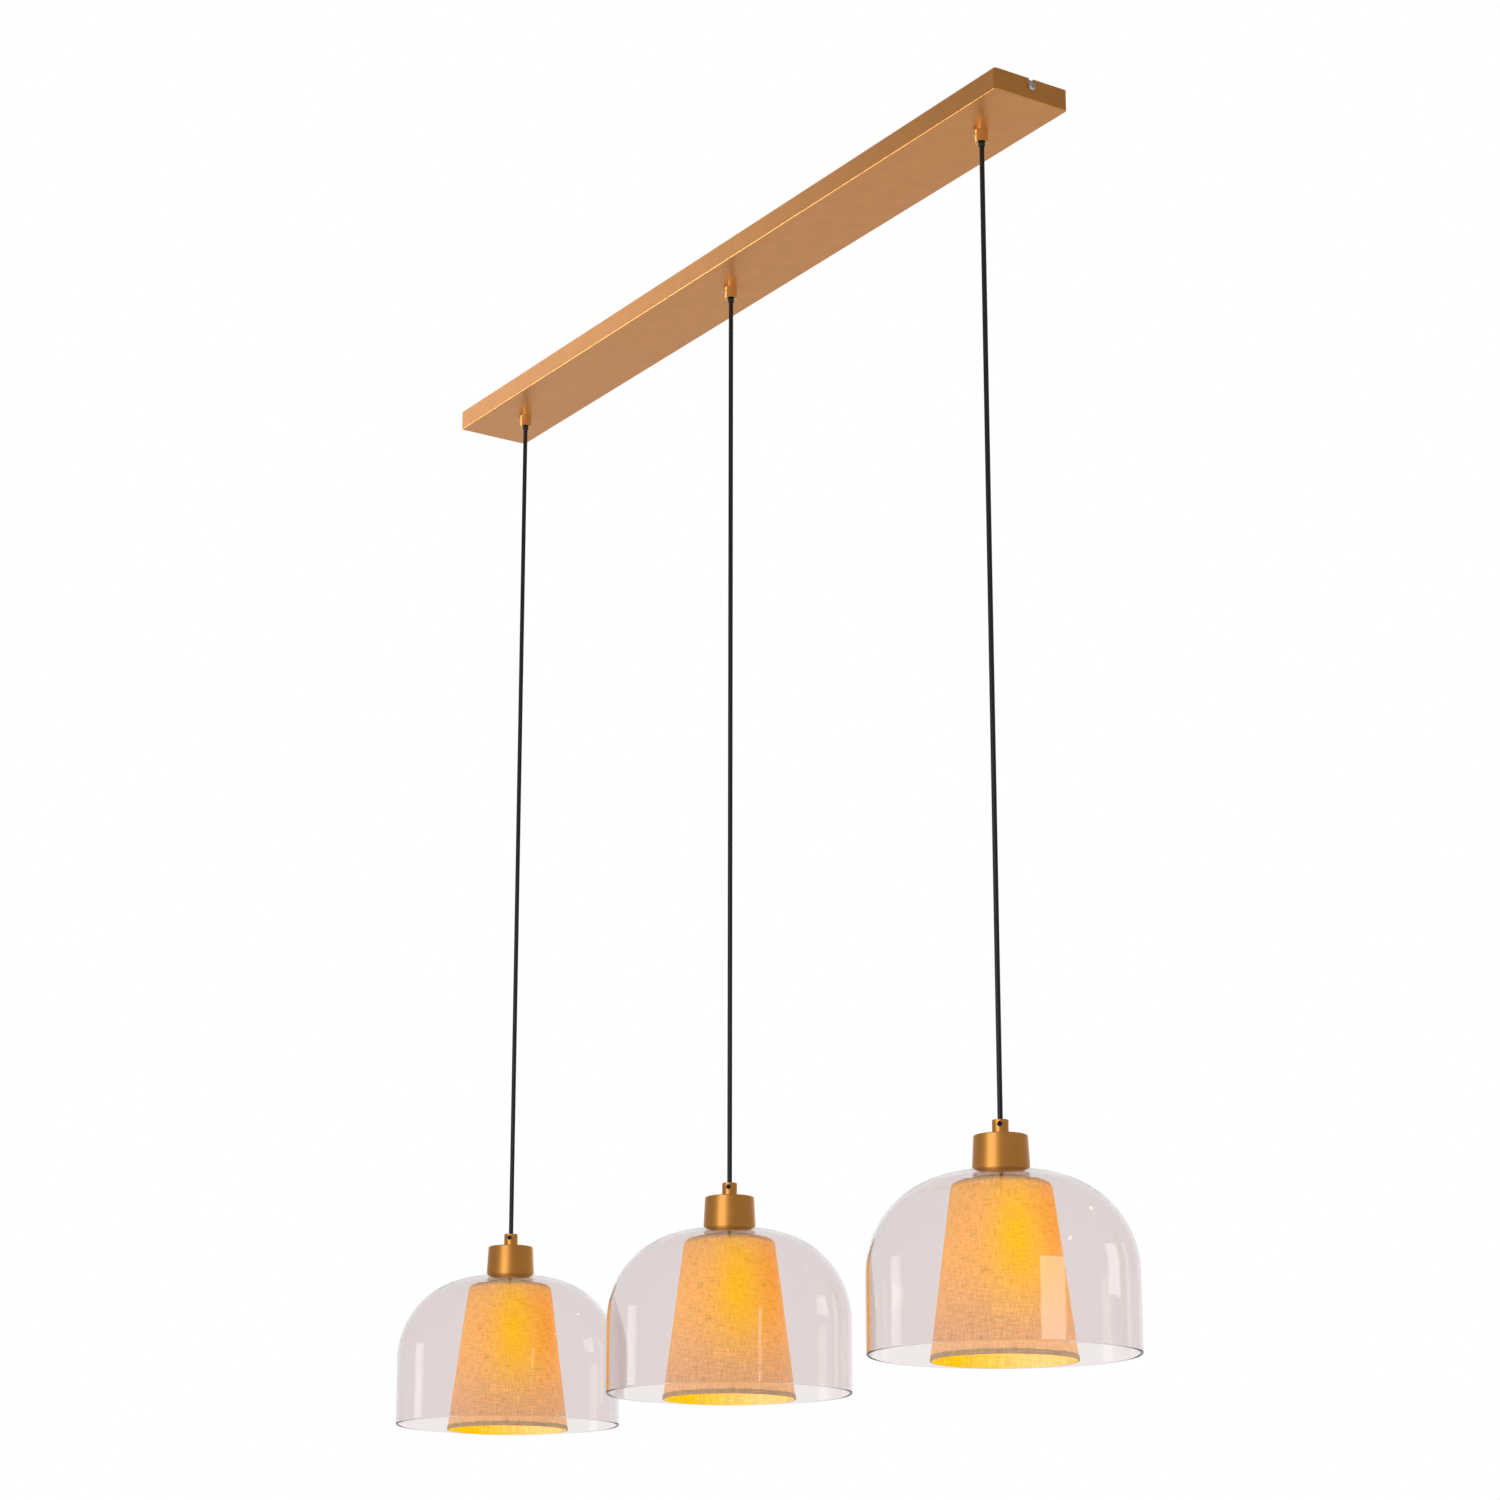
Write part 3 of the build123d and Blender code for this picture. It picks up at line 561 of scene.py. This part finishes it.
def bulb(place):
    """Opal globe that runs up into its neck through a hollow curve. Its arcs stop just short of the axis."""
    axis_x, _, bottom, top = span(place + "_bulb_globe")
    pole = -89.9            # degrees
    centre = bottom + bulb_radius
    rise = top - centre
    waist = (rise**2 + bulb_neck_radius**2 - bulb_radius**2) / (2 * (bulb_radius - bulb_neck_radius))
    waist_x = bulb_neck_radius + waist
    turn = math.degrees(math.atan2(rise, waist_x))
    outer = arc(0, centre, bulb_radius, pole, turn, steps=28)
    outer += arc(waist_x, top, waist, 180 + turn, 180, steps=8)[1:]
    inner = arc(waist_x, top, waist + bulb_wall, 180, 180 + turn, steps=8)
    inner += arc(0, centre, bulb_radius - bulb_wall, turn, pole, steps=28)[1:]
    piece = turned(place + "_opal_globe", outer + inner, axis_x)
    dress(piece, place + "_bulb_globe", opal)


for place in places:
    glass_dome(place)
    linen_shade(place)
    cup(place)
    bulb(place)


# ---------------------------------------------------------------- cords

def cord(name, points, node):
    """A round flexible cord along points in millimetres."""
    curve = bpy.data.curves.new(name, "CURVE")
    curve.dimensions = "3D"
    curve.bevel_depth = cord_diameter / 2 * MM
    curve.bevel_resolution = 5
    curve.resolution_u = 10
    curve.use_fill_caps = True
    spline = curve.splines.new("NURBS")
    spline.points.add(len(points) - 1)
    for spot, point in zip(spline.points, points):
        spot.co = (*(value * MM for value in point), 1)
    spline.order_u = 3
    spline.use_endpoint_u = True
    piece = bpy.data.objects.new(name, curve)
    bpy.context.scene.collection.objects.link(piece)
    dress(piece, node, black_cord)


place_x = {"left": -cord_spacing, "middle": 0.0, "right": cord_spacing}


def hanging_cord(place):
    _, _, bottom, top = span(place + "_cord")
    x = place_x[place]
    points = [(x, 0, top), (x, 0, (top + bottom) / 2), (x, 0, bottom)]
    cord(place + "_hanging_cord", points, place + "_cord")


# The construction's own route: up out of the grip, over, and along the canopy's floor to the terminal box
tail_start = -30.7
bend_level = -12.0
tail_run = 4.7
tail_floor = -20.75
tail_rise = tail_run * math.sqrt(0.75)
tail_half = tail_run * 0.5
crest = bend_level + tail_rise + tail_half
tail_bend = [
    (0.0, 0.0, tail_start),
    (0.0, 0.0, bend_level),
    (tail_half, 0.0, bend_level + tail_rise),
    (tail_half + tail_rise, 0.0, crest),
    (15.0, 0.9, crest - 0.4),
    (32.0, 3.4, crest - 3.8),
    (55.0, 7.0, tail_floor + 1.6),
]

# The terminal box along the canopy, where the cords enter it, and their straight run before it
box_near_end = 92.0
box_far_end = 168.0
box_entry_y = 9.0
box_run = 20.0

# Each tail's direction along the canopy, its side across it, its length, and its points on the floor
tails = {
    "left": (1, 1, 629.1, [
        (-388.0, 14.0), (-330.0, 22.0), (-268.0, 24.0), (-206.0, 16.0), (-146.0, 20.0), (-88.0, 27.5),
        (-30.0, 27.0), (28.0, 20.0), (box_near_end - box_run, box_entry_y), (box_near_end, box_entry_y),
    ]),
    "middle": (1, -1, 116.2, [(box_near_end - box_run, -box_entry_y), (box_near_end, -box_entry_y)]),
    "right": (-1, -1, 368.0, [
        (388.0, -15.0), (330.0, -20.0), (270.0, -16.0), (222.0, -7.0), (box_far_end + box_run, 0.0),
        (box_far_end, 0.0),
    ]),
}


def inner_cord(place):
    direction, side, length, floor_points = tails[place]
    route = [(place_x[place] + direction * x, side * y, level) for x, y, level in tail_bend]
    route += [(x, y, tail_floor) for x, y in floor_points]
    cord(place + "_inner_cord", route, place + "_cord_tail")


for place in places:
    hanging_cord(place)
for place in places:
    inner_cord(place)


# ---------------------------------------------------------------- machined and moulded pieces

machined("canopy_tray", "canopy_shell", gold, edge=0.3)
machined("ceiling_bracket", "bracket_strip", zinc, edge=0.2)
machined("junction_box", "terminal_box", white_plastic, edge=0.4)
machined("junction_lid", "terminal_lid", white_plastic, edge=0.4)
machined("lid_screws", "lid_screw_pair", bright_steel, edge=0.2)
machined("earth_stud", "earth_post", zinc)
machined("earth_nut", "earth_fixings", brass)
machined("grip_nuts", "grip_hex_nuts", zinc, edge=0.3)
machined("grip_side_screws", "grip_screws", bright_steel)
for side in ("left", "right"):
    machined("end_screw_" + side, side + "_end_fixing", bright_steel)

pendant_finishes = {
    "grip_body": turned_gold,
    "grip_ball": black_plastic,
    "cord_bush": black_plastic,
    "cord_cap": satin_gold,
    "cap_grub_screw": black_steel,
    "lampholder": white_plastic,
    "lampholder_contacts": brass,
    "shade_rings": bronze,
    "shade_fitter": white_wire,
    "bulb_cap": bulb_metal,
}
for place in places:
    for piece_name, finish in pendant_finishes.items():
        machined(place + "_" + piece_name, place + "_finished_" + piece_name, finish)


# ---------------------------------------------------------------- floor, light and camera

def floor():
    """A plain pale floor that is paler still to the eye, so that it runs into the white behind."""
    level = -2.45
    half_width = 40.0
    glow = 0.4
    shape = bmesh.new()
    bmesh.ops.create_grid(shape, x_segments=1, y_segments=1, size=half_width)
    bmesh.ops.translate(shape, verts=shape.verts, vec=(0, 0, level))
    piece = new_piece("floor", shape)
    material, shader = finish_of("floor", (0.86, 0.86, 0.86), 0.9)
    shader.inputs["Emission Color"].default_value = (1, 1, 1, 1)
    tree = material.node_tree
    feed(tree, shader.inputs["Emission Strength"], maths(tree, "MULTIPLY", seen_by_eye(tree), glow))
    piece.data.materials.append(material)


def bearing(direction, elevation):
    """The unit vector of a direction in degrees from +X towards +Y and an elevation in degrees."""
    turn = math.radians(direction)
    rise = math.radians(elevation)
    return Vector((math.cos(turn) * math.cos(rise), math.sin(turn) * math.cos(rise), math.sin(rise)))


def world(white, ambient, surround, glow_direction, glow_elevation, glow_half_width, glow_level):
    """White to the eye, one ambient level as light, and a level with one soft glow for what is mirrored."""
    surroundings = bpy.data.worlds.new("studio")
    bpy.context.scene.world = surroundings
    surroundings.use_nodes = True
    tree = surroundings.node_tree
    toward = add(tree, "ShaderNodeVectorMath", operation="DOT_PRODUCT")
    feed(tree, toward.inputs[0], add(tree, "ShaderNodeTexCoord").outputs["Generated"])
    feed(tree, toward.inputs[1], bearing(glow_direction, glow_elevation))
    sharpness = math.log(2) / (1 - math.cos(math.radians(glow_half_width)))
    fall = maths(tree, "MULTIPLY", maths(tree, "SUBTRACT", toward.outputs["Value"], 1.0), sharpness)
    glow = maths(tree, "MULTIPLY", maths(tree, "POWER", math.e, fall), glow_level)
    mirrored = maths(tree, "ADD", glow, surround)
    is_glossy = add(tree, "ShaderNodeLightPath").outputs["Is Glossy Ray"]
    unseen = mixed(tree, is_glossy, ambient, mirrored, "FLOAT")
    background = tree.nodes["Background"]
    background.inputs["Color"].default_value = (1, 1, 1, 1)
    feed(tree, background.inputs["Strength"], mixed(tree, seen_by_eye(tree), unseen, white, "FLOAT"))


def softbox(name, target_level, direction, elevation, distance, size, radiance, only=(), colour=(1, 1, 1)):
    """An even panel, unseen by the camera, that faces the middle pendant's axis at a level.
    With only, its light falls on no other pieces than those whose names end so."""
    away = bearing(direction, elevation)
    width, height = size
    light = bpy.data.lights.new(name, "AREA")
    light.shape = "RECTANGLE"
    light.size = width
    light.size_y = height
    light.color = colour
    light.energy = radiance * math.pi * width * height
    lamp = bpy.data.objects.new(name, light)
    lamp.location = Vector((0, 0, target_level)) + away * distance
    lamp.rotation_euler = (-away).to_track_quat("-Z", "Y").to_euler()
    lamp.visible_camera = False
    if only:
        lit = bpy.data.collections.new(name + "_lit")
        for piece in bpy.data.objects:
            if piece.name.endswith(only):
                lit.objects.link(piece)
        lamp.light_linking.receiver_collection = lit
    bpy.context.scene.collection.objects.link(lamp)
    return lamp


def lights():
    """Panels round the object. Those for the domes stand where the photograph's reflections ask for them."""
    shades = -1.2           # levels in metres
    canopy = 0.0
    metals = ("_brass_cup", "_cord_cap", "_grip_body", "_cord", "_cord_bush", "_shade_rings", "_grub_screw")
    tray = ("canopy_shell",)
    domes = ("_blown_glass",)
    warm = (1.0, 0.8, 0.5)
    # Name, level, direction, elevation, distance, width and height, radiance, pieces lit, colour
    front = softbox("front_panel", shades, -80, 12, 5.0, (2.6, 2.4), 1.0)
    front.visible_glossy = False
    softbox("metal_panel", shades, -67, 9, 3.0, (1.9, 1.4), 2.1, metals)
    softbox("canopy_panel", canopy, -159, 24, 2.4, (1.2, 1.0), 0.85, tray)
    softbox("edge_panel", canopy, -150, -30, 2.5, (1.4, 1.0), 7.5, tray)
    softbox("window", shades, 3.5, 5, 10.0, (3.6, 1.0), 10.0, domes)
    softbox("left_strip", shades, -137, 7, 10.0, (2.2, 1.6), 3.0, domes)
    softbox("right_strip", shades, 65, 12.2, 10.0, (2.6, 2.2), 3.4, domes)
    softbox("right_edge_strip", shades, 86, 11, 10.0, (0.8, 2.4), 1.2, domes)
    softbox("low_lamp", shades, 23, 25, 10.0, (0.32, 0.32), 45.0, domes, warm)
    softbox("high_lamp", shades, 79, 41, 10.0, (0.32, 0.32), 14.0, domes, warm)


def camera():
    """The photograph's view, with its angles in radians and its focal length in pixels of that picture."""
    yaw = -0.9867
    pitch = 0.2548
    focal_pixels = 3359.8
    image_pixels = 1500
    eye = bpy.data.cameras.new("camera")
    eye.sensor_width = 36.0
    eye.lens = focal_pixels / image_pixels * eye.sensor_width
    eye.shift_y = 0.06
    eye.clip_end = 200
    holder = bpy.data.objects.new("camera", eye)
    ahead = Vector((math.sin(yaw) * math.cos(pitch), math.cos(yaw) * math.cos(pitch), math.sin(pitch)))
    holder.location = (3.2226, -2.1021, -1.7324)
    holder.rotation_mode = "QUATERNION"
    holder.rotation_quaternion = ahead.to_track_quat("-Z", "Y")
    bpy.context.scene.collection.objects.link(holder)
    bpy.context.scene.camera = holder


floor()
world(
    white=1.0, ambient=0.66, surround=0.3,
    glow_direction=142, glow_elevation=10, glow_half_width=28, glow_level=0.8,
)
lights()
camera()
bpy.context.scene.view_settings.view_transform = "Standard"
